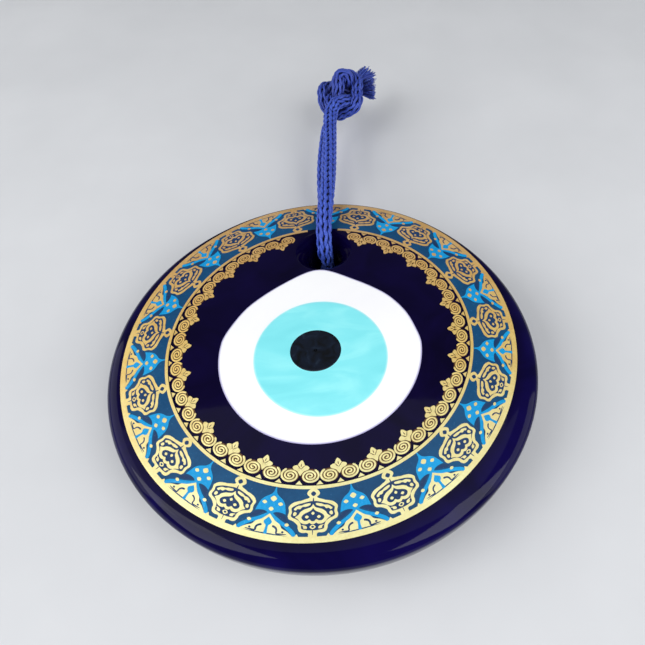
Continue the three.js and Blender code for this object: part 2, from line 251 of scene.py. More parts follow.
def grid_faces(rows, columns, close_rows=False, close_columns=True):
    """Quads of a grid of points, row after row."""
    faces = []
    for i in range(rows if close_rows else rows - 1):
        below = i * columns
        above = ((i + 1) % rows) * columns
        for j in range(columns if close_columns else columns - 1):
            k = (j + 1) % columns
            faces.append((below + j, below + k, above + k, above + j))
    return faces


def spline(points, step):
    """A smooth curve through the points, sampled about every step."""
    p = np.asarray(points, float)
    p = np.vstack((2 * p[0] - p[1], p, 2 * p[-1] - p[-2]))
    out = []
    for a, b, c, d in zip(p[:-3], p[1:-2], p[2:-1], p[3:]):
        count = max(2, int(np.linalg.norm(c - b) / step * 3))
        t = np.linspace(0, 1, count, endpoint=False)[:, None]
        square, cube = 2 * a - 5 * b + 4 * c - d, 3 * b - a - 3 * c + d
        out.append(0.5 * (2 * b + (c - a) * t + square * t**2 + cube * t**3))
    out.append(p[-2][None])
    return resample(np.vstack(out), step)


def resample(points, step):
    """The same line with evenly spaced points."""
    along = arc_lengths(points)
    count = max(2, int(round(along[-1] / step)) + 1)
    where = np.linspace(0, along[-1], count)
    return np.stack([np.interp(where, along, points[:, k]) for k in range(points.shape[1])], 1)


def arc_lengths(points):
    """Distance along a line at each of its points."""
    steps = np.linalg.norm(np.diff(points, axis=0), axis=1)
    return np.concatenate(((0,), np.cumsum(steps)))


def line_frames(points, first_normal):
    """Tangent, normal and side at each point of a line, carried along without twist."""
    tangents = np.gradient(points, axis=0)
    tangents /= np.linalg.norm(tangents, axis=1)[:, None]
    normals = np.zeros_like(points)
    normal = np.asarray(first_normal, float)
    for i, tangent in enumerate(tangents):
        normal = normal - tangent * np.dot(normal, tangent)
        normal /= np.linalg.norm(normal)
        normals[i] = normal
    return tangents, normals, np.cross(tangents, normals)


def tube(points, radii, sides, first_normal=(0, 0.3, 1)):
    """A tube round a line of points: its points and faces, closed at both ends."""
    points = np.asarray(points, float)
    _, normals, across = line_frames(points, first_normal)
    turns = np.linspace(0, 2 * np.pi, sides, endpoint=False)
    radii = np.broadcast_to(radii, (len(points),))
    rings = points[:, None] + radii[:, None, None] * (
        np.cos(turns)[None, :, None] * normals[:, None] + np.sin(turns)[None, :, None] * across[:, None]
    )
    faces = grid_faces(len(points), sides)
    last = (len(points) - 1) * sides
    faces.append(tuple(range(sides))[::-1])
    faces.append(tuple(range(last, last + sides)))
    return rings.reshape(-1, 3), faces


class Pile:
    """Gathers several small shapes into one mesh."""

    def __init__(self):
        self.points, self.faces, self.slots, self.values = [], [], [], {}
        self.count = 0

    def add(self, points, faces, slot=0, **values):
        self.points.append(points)
        self.faces += [tuple(int(i) + self.count for i in f) for f in faces]
        self.slots += [slot] * len(faces)
        for key, numbers in values.items():
            self.values.setdefault(key, []).append(np.broadcast_to(numbers, (len(points),)))
        self.count += len(points)

    def build(self, name, materials, smooth=True):
        values = {key: np.concatenate(parts) for key, parts in self.values.items()}
        return make_object(name, np.vstack(self.points), self.faces, materials, smooth, values, self.slots)


# ---- Materials ----


def linear(colour):
    """A screen colour's hex code, a linear colour or a grey, as linear red, green, blue and alpha."""
    if isinstance(colour, str):
        parts = [int(colour[i : i + 2], 16) / 255 for i in (0, 2, 4)]
        colour = tuple(p / 12.92 if p <= 0.04045 else ((p + 0.055) / 1.055) ** 2.4 for p in parts)
    return (*colour, 1) if isinstance(colour, tuple) else (colour, colour, colour, 1)


class Finish:
    """A procedural material built on one Principled shader."""

    def __init__(self, name, **sockets):
        self.material = bpy.data.materials.new(name)
        self.material.use_nodes = True
        self.tree = self.material.node_tree
        self.shader = self.tree.nodes["Principled BSDF"]
        for socket, value in sockets.items():
            self.shader.inputs[socket.replace("_", " ")].default_value = value

    def node(self, kind, settings=None, **sockets):
        made = self.tree.nodes.new(kind)
        for key, value in (settings or {}).items():
            setattr(made, key, value)
        for socket, value in sockets.items():
            self.set(made.inputs[socket.replace("_", " ")], value)
        return made

    def set(self, socket, value):
        if isinstance(value, bpy.types.NodeSocket):
            self.tree.links.new(value, socket)
        else:
            socket.default_value = value

    def place(self):
        return self.node("ShaderNodeTexCoord").outputs["Object"]

    def stretched(self, scale):
        return self.node("ShaderNodeMapping", Vector=self.place(), Scale=scale).outputs["Vector"]

    def noise(self, scale, detail=3.0, distortion=0.0, vector=None):
        made = self.node("ShaderNodeTexNoise", Vector=vector or self.place(), Scale=scale, Detail=detail)
        made.inputs["Distortion"].default_value = distortion
        return made.outputs["Fac"]

    def attribute(self, name):
        return self.node("ShaderNodeAttribute", {"attribute_name": name}).outputs["Fac"]

    def math(self, operation, a, b=0.5):
        made = self.node("ShaderNodeMath", {"operation": operation})
        self.set(made.inputs[0], a)
        self.set(made.inputs[1], b)
        return made.outputs[0]

    def weighted(self, *parts):
        """The sum of several values, each times its weight."""
        total = None
        for value, weight in parts:
            part = self.math("MULTIPLY", value, weight)
            total = part if total is None else self.math("ADD", total, part)
        return total

    def rise(self, low, high, most=1.0):
        """A value that grows from 0 to most between two heights of the row frame."""
        height = self.node("ShaderNodeSeparateXYZ", Vector=self.place()).outputs["Z"]
        made = self.node("ShaderNodeMapRange", Value=height, From_Min=low, From_Max=high, To_Max=most)
        return made.outputs["Result"]

    def ramp(self, factor, *stops):
        """Colours by factor. Each stop is a position and a colour."""
        made = self.node("ShaderNodeValToRGB", Fac=factor)
        elements = made.color_ramp.elements
        while len(elements) < len(stops):
            elements.new(0.5)
        for element, (position, colour) in zip(elements, stops):
            element.position = position
            element.color = linear(colour)
        return made.outputs["Color"]

    def mix(self, factor, a, b):
        made = self.node("ShaderNodeMix", {"data_type": "RGBA"})
        self.set(made.inputs[0], factor)
        for socket, value in ((made.inputs[6], a), (made.inputs[7], b)):
            self.set(socket, value if isinstance(value, bpy.types.NodeSocket) else linear(value))
        return made.outputs[2]

    def colour(self, value):
        self.set(self.shader.inputs["Base Color"], value)

    def roughness(self, value):
        self.set(self.shader.inputs["Roughness"], value)

    def bump(self, height, distance, strength=1.0):
        made = self.node("ShaderNodeBump", Height=height, Distance=distance, Strength=strength)
        earlier = self.shader.inputs["Normal"].links
        if earlier:
            self.set(made.inputs["Normal"], earlier[0].from_socket)
        self.set(self.shader.inputs["Normal"], made.outputs["Normal"])


def glass_surface(finish):
    """Hand-poured glass: a slow ripple, a faint orange peel and a roughness that wanders."""
    finish.bump(finish.noise(55, 2.0), 0.00002)
    finish.bump(finish.noise(900, 2.0), 0.0000012)
    finish.roughness(finish.ramp(finish.noise(140, 4.0), (0.35, 0.035), (0.75, 0.1)))


def navy_glass():
    """Nearly opaque dark blue, with painted light that makes it a little bluer round the rim, for light coming
    through the glass there.
    """
    finish = Finish("navy_glass", IOR=1.5, Specular_IOR_Level=0.15)
    cloud = finish.noise(70, 5.0, 1.2)
    face = finish.ramp(cloud, (0.3, "05011f"), (0.8, "0c0434"))
    rim = finish.ramp(cloud, (0.3, "05012e"), (0.8, "0e0546"))
    finish.colour(finish.mix(finish.attribute("rim"), face, rim))
    glass_surface(finish)
    return finish.material


def white_glass():
    """Opaque white, tinged violet where it melts into the blue."""
    finish = Finish("white_glass", IOR=1.5)
    body = finish.ramp(finish.noise(45, 4.0, 0.8), (0.3, "fafafd"), (0.7, "ffffff"))
    edge = finish.ramp(finish.attribute("edge"), (0.0, 1.0), (0.5, 0.0))
    finish.colour(finish.mix(edge, body, "8f86c4"))
    glass_surface(finish)
    return finish.material


def turquoise_glass():
    """Opaque turquoise with drawn-out streaks."""
    finish = Finish("turquoise_glass", IOR=1.5)
    swirl = finish.noise(1.0, 3.0, 1.4, finish.stretched((45, 60, 150)))
    body = finish.ramp(swirl, (0.3, "80e5ed"), (0.5, "88ebf2"), (0.7, "9af4f8"))
    edge = finish.ramp(finish.math("DIVIDE", finish.attribute("edge"), 1.1), (0.0, 0.8), (0.6, 0.0))
    finish.colour(finish.mix(edge, body, "d8fbff"))
    glass_surface(finish)
    return finish.material


def black_glass():
    """Opaque black with faint grey mottling."""
    finish = Finish("black_glass", IOR=1.5)
    mottle = finish.ramp(finish.noise(420, 5.0, 0.8), (0.35, "020409"), (0.6, "0a1424"), (0.8, "23303f"))
    edge = finish.ramp(finish.attribute("edge"), (0.0, 1.0), (0.35, 0.0))
    finish.colour(finish.mix(edge, mottle, "0d3550"))
    glass_surface(finish)
    return finish.material


def ink(name, low, high, roughness=0.3):
    """Fired enamel ink: grainy colour, a little pin-holed."""
    finish = Finish(name, IOR=1.5, Specular_IOR_Level=0.32)
    grain = finish.noise(1500, 3.0)
    patch = finish.noise(110, 3.0)
    cover = finish.weighted((grain, 0.35), (patch, 0.65))
    finish.colour(finish.ramp(cover, (0.25, low), (0.75, high)))
    finish.roughness(finish.ramp(grain, (0.3, roughness - 0.06), (0.7, roughness + 0.08)))
    finish.bump(grain, 0.000001)
    return finish.material


def gold():
    """Fired bright gold: thin metal over a slightly rough enamel, with painted light that makes it paler
    towards the disc's foot.
    """
    finish = Finish("gold", Metallic=0.45)
    grain = finish.noise(1800, 3.0)
    patch = finish.noise(160, 4.0)
    cover = finish.weighted((grain, 0.4), (patch, 0.6))
    # Painted light: the colour pales towards the disc's foot, for the bright light that the gold there
    # reflects.
    painted_light_height = finish.rise(-0.125, -0.045)
    bright = finish.ramp(painted_light_height, (0.0, "fffabc"), (0.4, "ffe18a"), (0.7, "f8cd80"), (1.0, "eec690"))
    dull = finish.ramp(painted_light_height, (0.0, "f4e8a2"), (0.4, "f4ca72"), (0.7, "e6b56a"), (1.0, "d6a866"))
    finish.colour(finish.mix(finish.ramp(cover, (0.36, 0.0), (0.62, 1.0)), dull, bright))
    finish.roughness(finish.ramp(grain, (0.3, 0.3), (0.7, 0.46)))
    finish.bump(grain, 0.000006)
    return finish.material


def yarn():
    """Knitted polyester yarn: fine filaments that wind round it, with painted shade that darkens it in the knot
    and between stitches.
    """
    finish = Finish("cord_yarn", Sheen_Weight=0.12, Sheen_Roughness=0.4, Sheen_Tint=(0.45, 0.6, 1.0, 1.0))
    wind = finish.weighted((finish.attribute("around"), 11.0), (finish.attribute("along"), 1.3))
    threads = finish.math("SINE", finish.math("MULTIPLY", wind, 2 * math.pi), 0.0)
    threads = finish.math("MULTIPLY_ADD", threads, 0.5)
    fuzz = finish.noise(2600, 3.0)
    patch = finish.noise(260, 3.0)
    light = finish.weighted((threads, 0.35), (fuzz, 0.3), (patch, 0.35))
    blue = finish.ramp(light, (0.25, "14268c"), (0.5, "3250c2"), (0.8, "6c8af0"))
    # Painted shade: ambient occlusion darkens the yarn towards a near black blue in the crevices between
    # stitches and strands.
    crevice_occlusion = finish.node("ShaderNodeAmbientOcclusion", {"samples": 8}, Distance=0.004).outputs["AO"]
    unshaded_share = finish.ramp(crevice_occlusion, (0.25, 0.0), (0.75, 1.0))
    # Painted shade: the knot, the highest part of the cord, is darkened towards a deep blue.
    blue_with_knot_shade = finish.mix(finish.rise(0.004, 0.010, 0.4), blue, "101c70")
    finish.colour(finish.mix(unshaded_share, "0b1258", blue_with_knot_shade))
    finish.roughness(finish.ramp(fuzz, (0.3, 0.42), (0.7, 0.62)))
    finish.bump(threads, 0.00003, 0.5)
    finish.bump(fuzz, 0.00002, 0.4)
    return finish.material


def core():
    """The inside of the cord between the stitches, coloured nearly black as painted shade."""
    finish = Finish("cord_core", Roughness=0.9)
    finish.colour(finish.ramp(finish.noise(1500, 2.0), (0.3, "000312"), (0.7, "030a30")))
    return finish.material


NAVY = navy_glass()
WHITE = white_glass()
TURQUOISE = turquoise_glass()
BLACK = black_glass()
TEAL = ink("teal_ink", "0c3d65", "16527e", 0.2)
DARK_TEAL = ink("dark_teal_ink", "17335c", "1f4068", 0.22)
BLUE = ink("blue_ink", "0c8ccb", "18a2e0", 0.24)
BROWN = ink("brown_ink", "4c321a", "6e4a24")
GOLD = gold()
YARN = yarn()
CORE = core()
PRINT = [GOLD, BLUE, DARK_TEAL, BROWN]
GOLD_SLOT, BLUE_SLOT, DARK_SLOT, BROWN_SLOT = range(4)
YARN_SLOT, CORE_SLOT = range(2)


# ---- Camera, lights and backdrop ----


def make_camera():
    data = bpy.data.cameras.new("camera")
    data.sensor_width = SENSOR_WIDTH
    data.lens = LENS
    data.shift_x = SHIFT
    data.clip_start = 0.01
    camera = bpy.data.objects.new("camera", data)
    bpy.context.scene.collection.objects.link(camera)
    axes = disc_turn() @ np.array(CAMERA_AXES).T
    matrix = Matrix(axes.tolist()).to_4x4()
    matrix.translation = Vector(to_row(CAMERA_PLACE))
    camera.matrix_world = matrix
    bpy.context.scene.camera = camera


def make_light(name, place, size, power):
    """A soft box that the camera doesn't see."""
    data = bpy.data.lights.new(name, "AREA")
    data.shape = "RECTANGLE"
    data.size, data.size_y = size
    data.energy = power
    light = bpy.data.objects.new(name, data)
    bpy.context.scene.collection.objects.link(light)
    start, end = Vector(to_row(place)), Vector(to_row((0, 0, 0)))
    light.location = start
    light.rotation_euler = (end - start).to_track_quat("-Z", "Y").to_euler()
    light.visible_camera = False
    light.visible_glossy = name != UNMIRRORED_LIGHT


def make_lights():
    for name, (place, size, power) in LIGHTS.items():
        make_light(name, place, size, power)


def make_world():
    world = bpy.data.worlds.new("studio")
    bpy.context.scene.world = world
    world.use_nodes = True
    background = world.node_tree.nodes["Background"]
    background.inputs["Color"].default_value = STUDIO_TINT
    background.inputs["Strength"].default_value = STUDIO_STRENGTH


def make_backdrop():
    """A plain pale board that the ornament hangs in front of. It is see-through from behind."""
    finish = Finish("backdrop", Roughness=0.9)
    finish.colour(finish.ramp(finish.noise(30, 3.0), (0.3, (0.66, 0.67, 0.69)), (0.7, (0.70, 0.71, 0.73))))
    clear = finish.node("ShaderNodeBsdfTransparent")
    behind = finish.node("ShaderNodeNewGeometry").outputs["Backfacing"]
    both = finish.node("ShaderNodeMixShader", Fac=behind)
    links = finish.tree.links
    links.new(finish.shader.outputs[0], both.inputs[1])
    links.new(clear.outputs[0], both.inputs[2])
    links.new(both.outputs[0], finish.tree.nodes["Material Output"].inputs["Surface"])
    low = [(-BOARD_SIDE, BOARD_DEPTH, BOARD_LOW), (BOARD_SIDE, BOARD_DEPTH, BOARD_LOW)]
    high = [(BOARD_SIDE, BOARD_DEPTH, BOARD_HIGH), (-BOARD_SIDE, BOARD_DEPTH, BOARD_HIGH)]
    board = make_object("backdrop", low + high, [(0, 1, 2, 3)], [finish.material], False)


# ---- Cord ----


def tighten(strands):
    """Pulls the strands of the knot together without letting them pass into each other."""
    lengths = [len(s) for s in strands]
    points = np.vstack(strands)
    start = points.copy()
    owner = np.repeat(np.arange(len(strands)), lengths)
    order = np.concatenate([np.arange(n) for n in lengths])
    near = (owner[:, None] == owner[None]) & (np.abs(order[:, None] - order[None]) < NEIGHBOURS)
    held = order < HELD_POINTS
    ends = np.concatenate([np.arange(n) >= n - HELD_TAIL for n in lengths])
    middle = points.mean(0)
    for _ in range(KNOT_ROUNDS):
        apart = points[:, None] - points[None]
        distance = np.linalg.norm(apart, axis=2) + 1e-9
        press = np.where(near, 0, np.clip(STRAND_GAP - distance, 0, None))
        push = (apart / distance[..., None] * press[..., None]).sum(1) * KNOT_PUSH
        moved = points + push + (middle - points) * KNOT_PULL
        smooth = moved.copy()
        for k in range(len(strands)):
            index = np.flatnonzero(owner == k)
            beside = moved[index[:-2]] + moved[index[2:]]
            smooth[index[1:-1]] = (1 - 2 * KNOT_SMOOTHING) * moved[index[1:-1]] + KNOT_SMOOTHING * beside
        points = smooth
        points[held] = start[held]
        points[ends] += (start[ends] - points[ends]) * KNOT_END_HOLD
    return [points[owner == k] for k in range(len(strands))]


def strand_lines():
    """The two centrelines, from the middle of the hole through the knot to the tails, in millimetres."""
    lines = {}
    knots = []
    middle = spline(KNOT_ROUTE, 2 * ROUTE_STEP)
    heading = np.gradient(middle, axis=0)
    beside = np.stack((-heading[:, 2], 0 * heading[:, 1], heading[:, 0]), 1)
    beside /= np.linalg.norm(beside, axis=1)[:, None]
    for name, route, side in (("front", FRONT_ROUTE, -1), ("back", BACK_ROUTE, 1)):
        run = spline(route, ROUTE_STEP)
        inside = middle + beside * side * PAIR_SPACING / 2
        knots.append(spline(np.vstack((run[-1:], inside, [TAIL_ENDS[name]])), ROUTE_STEP))
        lines[name] = run
    for name, knot in zip(("front", "back"), tighten(knots)):
        lines[name] = resample(np.vstack((lines[name][:-1], knot)), ROUTE_STEP)
    return lines


def knit(pile, line, twist, upward):
    """Yarn knitted round a line and the core inside it, coloured nearly black as painted shade: columns of
    stitches that run with the line, or against it where upward is False. twist is the stitches' turn round each
    point of the line."""
    if not upward:
        line, twist = line[::-1], twist[::-1]
    along = arc_lengths(line)
    _, normals, across = line_frames(line, (0, -1, 0) if upward else (0.2, 1, 0.2))
    stitches = int((along[-1] - STITCH_HEIGHT) / STITCH_HEIGHT * WALES)
    t = np.linspace(0, 2 * np.pi * stitches, stitches * STITCH_SAMPLES)
    wale = 2 * np.pi / WALES
    turn = t / (2 * np.pi) * wale - wale / 2 + STITCH_SWING * wale * np.sin(2 * t)
    climb = STITCH_HEIGHT * t / (2 * np.pi * WALES)
    height = np.clip(climb + STITCH_HEIGHT * STITCH_OVERLAP * (1 - np.cos(t)), 0, along[-1])
    radius = CORD_DIAMETER / 2 - YARN_RADIUS - STITCH_DEPTH - STITCH_RISE * np.cos(2 * t)
    centre, normal, side = (
        np.stack([np.interp(height, along, vectors[:, k]) for k in range(3)], 1)
        for vectors in (line, normals, across)
    )
    turn = turn + np.interp(height, along, twist)
    yarn_line = centre + radius[:, None] * (np.cos(turn)[:, None] * normal + np.sin(turn)[:, None] * side)
    points, faces = tube(yarn_line, YARN_RADIUS, YARN_SIDES)
    around = np.tile(np.linspace(0, 1, YARN_SIDES, endpoint=False), len(yarn_line))
    run = np.repeat(arc_lengths(yarn_line), YARN_SIDES)
    pile.add(points * MM, faces, YARN_SLOT, around=around, along=run)
    points, faces = tube(line, CORD_DIAMETER * CORE_SHARE, CORE_SIDES)
    pile.add(points * MM, faces, CORE_SLOT, around=0.0, along=0.0)


def fray(pile, start, direction, seed):
    """The cut end: filaments that spread out of the last stitches."""
    rng = np.random.default_rng(seed)
    direction = np.asarray(direction, float) / np.linalg.norm(direction)
    side = np.cross(direction, (0, 1, 0))
    side /= np.linalg.norm(side)
    other = np.cross(direction, side)
    s = np.linspace(0, 1, 7)[:, None]
    for _ in range(FILAMENTS):
        turn = rng.uniform(0, 2 * np.pi)
        out = math.sqrt(rng.uniform(0, 1))
        length = rng.uniform(*FILAMENT_LENGTHS)
        away = math.cos(turn) * side + math.sin(turn) * other
        bend = rng.uniform(-FILAMENT_BEND, FILAMENT_BEND, 3)
        spread = out * (FRAY_RADIUS + FRAY_SPREAD * s**1.2)
        line = start + direction * (s * length - FRAY_OVERLAP) + away * spread + bend * s**2
        points, faces = tube(line, np.linspace(*FILAMENT_RADII, len(line)), 5)
        pile.add(points * MM, faces, YARN_SLOT, around=0.0, along=float(rng.uniform(0, 9)))


def make_cords():
    """One knitted piece for each strand, with its half of the knot and its cut end."""
    for seed, (name, line) in enumerate(strand_lines().items()):
        along = arc_lengths(line)
        front = name == "front"
        twist = np.interp(along, *FRONT_TWIST) if front else np.zeros(len(along))
        pile = Pile()
        knit(pile, line, twist, front)
        heading = line[-1] - line[-4]
        fray(pile, line[-1], heading, seed + 3)
        cord = pile.build(f"knitted_cord_{name}", [YARN, CORE])
        nodes = [f"cord_neck_{name}", f"cord_tail_{name}"] + (["cord_loop", "cord_knot"] if front else [])
        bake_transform(cord)
        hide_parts(*nodes)


# ---- Glass ----


def face_height(points):
    """Height of the domed face over points of the disc's frame."""
    return CROWN * (1 - (points[..., 0] ** 2 + points[..., 1] ** 2) / BORDER_RADIUS**2)


def on_dome(points, lift=0.0):
    """Points of the disc's frame on the domed face, raised by lift."""
    return np.column_stack((points, face_height(points) + lift))


def at_height(points, z):
    """Points of the disc's frame, all at one height."""
    return np.column_stack((points, np.full(len(points), z)))


def body_reach(angle):
    """Distance from the border's centre to the disc's edge."""
    along = BODY_CENTRE[0] * np.cos(angle) + BODY_CENTRE[1] * np.sin(angle)
    across = BODY_CENTRE @ BODY_CENTRE - along**2
    radius = BODY_RADIUS * (1 + OVAL * np.cos(2 * (angle - OVAL_ANGLE)))
    return along + np.sqrt(radius**2 - across)


def hole_rings(spoke):
    """The bore, the funnel and its soft lip, from the back mouth up to the face."""
    floor = face_height(HOLE_CENTRE) - FUNNEL_DEPTH
    rings = []
    for z in np.linspace(BACK + BACK_MOUTH_DEPTH, floor - FUNNEL_FLOOR_STEP, 5):
        rings.append(at_height(HOLE_CENTRE + spoke * HOLE_RADIUS, z))
    for part in np.linspace(0, 1, 14):
        radius = HOLE_RADIUS + (FUNNEL_RADIUS - HOLE_RADIUS) * part**2
        rings.append(on_dome(HOLE_CENTRE + spoke * radius, (FUNNEL_DEPTH - LIP_DROP) * part - FUNNEL_DEPTH))
    for share in (0.25, 0.5, 0.75, 1.0):
        radius = FUNNEL_RADIUS + (LIP_RADIUS - FUNNEL_RADIUS) * share
        rings.append(on_dome(HOLE_CENTRE + spoke * radius, -LIP_DROP * (1 - share) ** 2))
    return rings


def face_rings(spoke, edge):
    """The dome, from the lip of the hole out to the edge of the face."""
    lip = HOLE_CENTRE + spoke * LIP_RADIUS
    return [on_dome(lip + (edge - lip) * part) for part in np.linspace(0, 1, 30)[1:]]


def rim_rings(angle, outward):
    """The rounded rim, from the face over the widest line to the back."""
    stretch = (body_reach(angle) - FACE_RADIUS) / (BODY_RADIUS - FACE_RADIUS)
    top = CROWN * (1 - (FACE_RADIUS / BORDER_RADIUS) ** 2)
    rings = []
    for turn in np.linspace(np.pi / 2, 0, 15)[1:]:
        reach = FACE_RADIUS + (BODY_RADIUS - FACE_RADIUS) * math.cos(turn) * stretch
        rings.append(at_height(outward * reach[:, None], WIDEST + (top - WIDEST) * math.sin(turn)))
    for turn in np.linspace(np.pi / 2, 0, 19)[1:]:
        radius = BODY_RADIUS - BACK_ROUNDING * (1 - math.sin(turn))
        reach = FACE_RADIUS + (radius - FACE_RADIUS) * stretch
        rings.append(at_height(outward * reach[:, None], WIDEST + (BACK - WIDEST) * math.cos(turn)))
    return rings


def back_rings(spoke, rim):
    """The flat back, from the rim in to the rounded back mouth of the hole."""
    mouth = HOLE_CENTRE + spoke * BACK_MOUTH_RADIUS
    rings = [at_height(rim + (mouth - rim) * part, BACK) for part in (0.02, 0.08, 0.2, 0.4, 0.6, 0.8, 0.92)]
    for turn in np.linspace(0, np.pi / 2, 9)[:-1]:
        radius = HOLE_RADIUS + (BACK_MOUTH_RADIUS - HOLE_RADIUS) * (1 - math.sin(turn))
        height = BACK + BACK_MOUTH_DEPTH * (1 - math.cos(turn))
        rings.append(at_height(HOLE_CENTRE + spoke * radius, height))
    return rings


def make_glass():
    """The disc as one skin: bore, funnel, face, rim, back and back mouth, ring after ring."""
    angle = np.linspace(0, 2 * np.pi, DISC_COLUMNS, endpoint=False)
    outward = np.stack((np.cos(angle), np.sin(angle)), 1)
    edge = outward * FACE_RADIUS
    from_hole = edge - HOLE_CENTRE
    spoke = from_hole / np.linalg.norm(from_hole, axis=1)[:, None]
    rings = hole_rings(spoke) + face_rings(spoke, edge) + rim_rings(angle, outward)
    rings += back_rings(spoke, rings[-1][:, :2])
    faces = grid_faces(len(rings), len(angle), close_rows=True)
    skin = np.vstack(rings)
    # Painted light: the share of the bluer rim colour, for light coming through the glass; the flat back takes
    # half of it.
    rim = np.clip((np.hypot(skin[:, 0], skin[:, 1]) - BORDER_RADIUS) / RIM_FADE, 0, 1)
    values = {"rim": np.where(skin[:, 2] < BACK + 1, 0.5, rim)}
    disc = make_object("poured_glass_disc", to_row(skin), [f[::-1] for f in faces], [NAVY], values=values)
    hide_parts("glass_disc")
    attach(disc, "disc")


def drop_outline():
    """A round drop drawn out to a blunt point at the top, anticlockwise."""
    arc = np.radians(np.linspace(DROP_LEAVES[0], DROP_LEAVES[1], 200))
    low = DROP_CENTRE + DROP_RADIUS * np.stack((np.cos(arc), np.sin(arc)), 1)
    around = [low[-8], low[-1], *DROP_SHOULDERS, low[0], low[7]]
    high = spline(around, 0.3)
    first = np.linalg.norm(high - low[-1], axis=1).argmin()
    last = np.linalg.norm(high - low[0], axis=1).argmin()
    return resample(np.vstack((low, high[first + 1 : last + 1])), 0.5)[:-1]


def oval_outline(centre, radii, tilt):
    """An oval with its axes turned by tilt degrees."""
    turn = np.linspace(0, 2 * np.pi, 180, endpoint=False)
    c, s = math.cos(math.radians(tilt)), math.sin(math.radians(tilt))
    oval = np.stack((radii[0] * np.cos(turn), radii[1] * np.sin(turn)), 1)
    return np.asarray(centre) + oval @ np.array(((c, s), (-s, c)))


def make_drop(name, outline, height, material, node):
    """A drop of glass melted into the face, a hair proud of it, with a soft edge."""
    centre = outline.mean(0)
    reach = np.linalg.norm(outline - centre, axis=1)
    rings, edges = [], []
    for inset in DROP_INSETS:
        ring = centre + (outline - centre) * (1 - inset / reach)[:, None]
        lift = height * math.sqrt(min(1, inset / DROP_ROUNDING)) if inset else -DROP_SUNK
        rings.append(on_dome(ring, lift))
        edges.append(np.full(len(ring), inset))
    inner = rings[-1][:, :2]
    for part in np.linspace(1, 0, 14)[1:-1]:
        ring = centre + (inner - centre) * part
        rings.append(on_dome(ring, height))
        edges.append(np.full(len(ring), DROP_MIDDLE))
    faces = [f[::-1] for f in grid_faces(len(rings), len(outline))]
    points = np.vstack(rings + [np.append(centre, face_height(centre) + height)[None]])
    last, middle = (len(rings) - 1) * len(outline), len(points) - 1
    for j in range(len(outline)):
        faces.append((last + j, last + (j + 1) % len(outline), middle))
    values = {"edge": np.append(np.concatenate(edges), DROP_MIDDLE)}
    drop = make_object(name, to_row(points), faces, [material], values=values)
    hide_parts(node)
    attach(drop, "disc")


def make_eye():
    """The white drop, the iris on it and the pupil on that, each prouder than the one before."""
    iris, pupil = oval_outline(*IRIS), oval_outline(*PUPIL)
    make_drop("fused_white_drop", drop_outline(), DROP_PROUD, WHITE, "white_glass_drop")
    make_drop("fused_turquoise_iris", iris, IRIS_PROUD, TURQUOISE, "turquoise_glass_iris")
    make_drop("fused_black_pupil", pupil, PUPIL_PROUD, BLACK, "black_glass_pupil")


# ---- Decal ----


def on_ring(points, axis):
    """Points given as degrees from an axis and share of the border's radius, as x, y."""
    points = np.asarray(points, float)
    angle = np.radians(axis + points[:, 0])
    radius = BORDER_RADIUS * points[:, 1]
    return np.stack((radius * np.cos(angle), radius * np.sin(angle)), 1)


def on_band(points, axis):
    """Points given as degrees from a motif's axis and height across the teal band, as x, y."""
    points = np.asarray(points, float)
    share = BAND_INNER + (BAND_OUTER - BAND_INNER) * points[:, 1]
    return on_ring(np.stack((points[:, 0], share), 1), axis)


def rounded(outline, step=0.12):
    """A closed smooth outline through the points. A point given twice is a corner."""
    points = [tuple(p) for p in outline]
    corners = [i for i in range(len(points)) if points[i] == points[(i + 1) % len(points)]]
    if not corners:
        loop = points[-3:] + points + points[:3]
        line = spline(loop, step)
        start = np.linalg.norm(line - points[0], axis=1)[: len(line) // 2].argmin()
        end = len(line) // 2 + np.linalg.norm(line[len(line) // 2 :] - points[0], axis=1).argmin()
        return line[start:end]
    points = points[corners[0] + 1 :] + points[: corners[0] + 1]
    pieces, run = [], [points[0]]
    for before, after in zip(points, points[1:]):
        if before == after:
            pieces.append(run)
            run = [after]
        else:
            run.append(after)
    pieces.append(run)
    lines = []
    for piece in pieces:
        if len(piece) > 1:
            line = spline(piece, step) if len(piece) > 2 else resample(np.array(piece, float), step)
            lines.append(line[:-1])
    return np.vstack(lines)


def fill(pile, outline, height, slot=GOLD_SLOT):
    """A thin flat patch with a closed outline, lying on the dome."""
    outline = np.asarray(outline, float)
    area = np.cross(outline, np.roll(outline, -1, 0)).sum()
    if area < 0:
        outline = outline[::-1]
    count = len(outline)
    triangles = tessellate_polygon([[Vector((x, y, 0)) for x, y in outline]])
    faces = []
    for a, b, c in triangles:
        turn = np.cross(outline[b] - outline[a], outline[c] - outline[a])
        faces.append((a, b, c) if turn > 0 else (a, c, b))
    faces += [(count + j, count + (j + 1) % count, (j + 1) % count, j) for j in range(count)]
    pile.add(to_row(np.vstack((on_dome(outline, height), on_dome(outline, -SUNK)))), faces, slot)


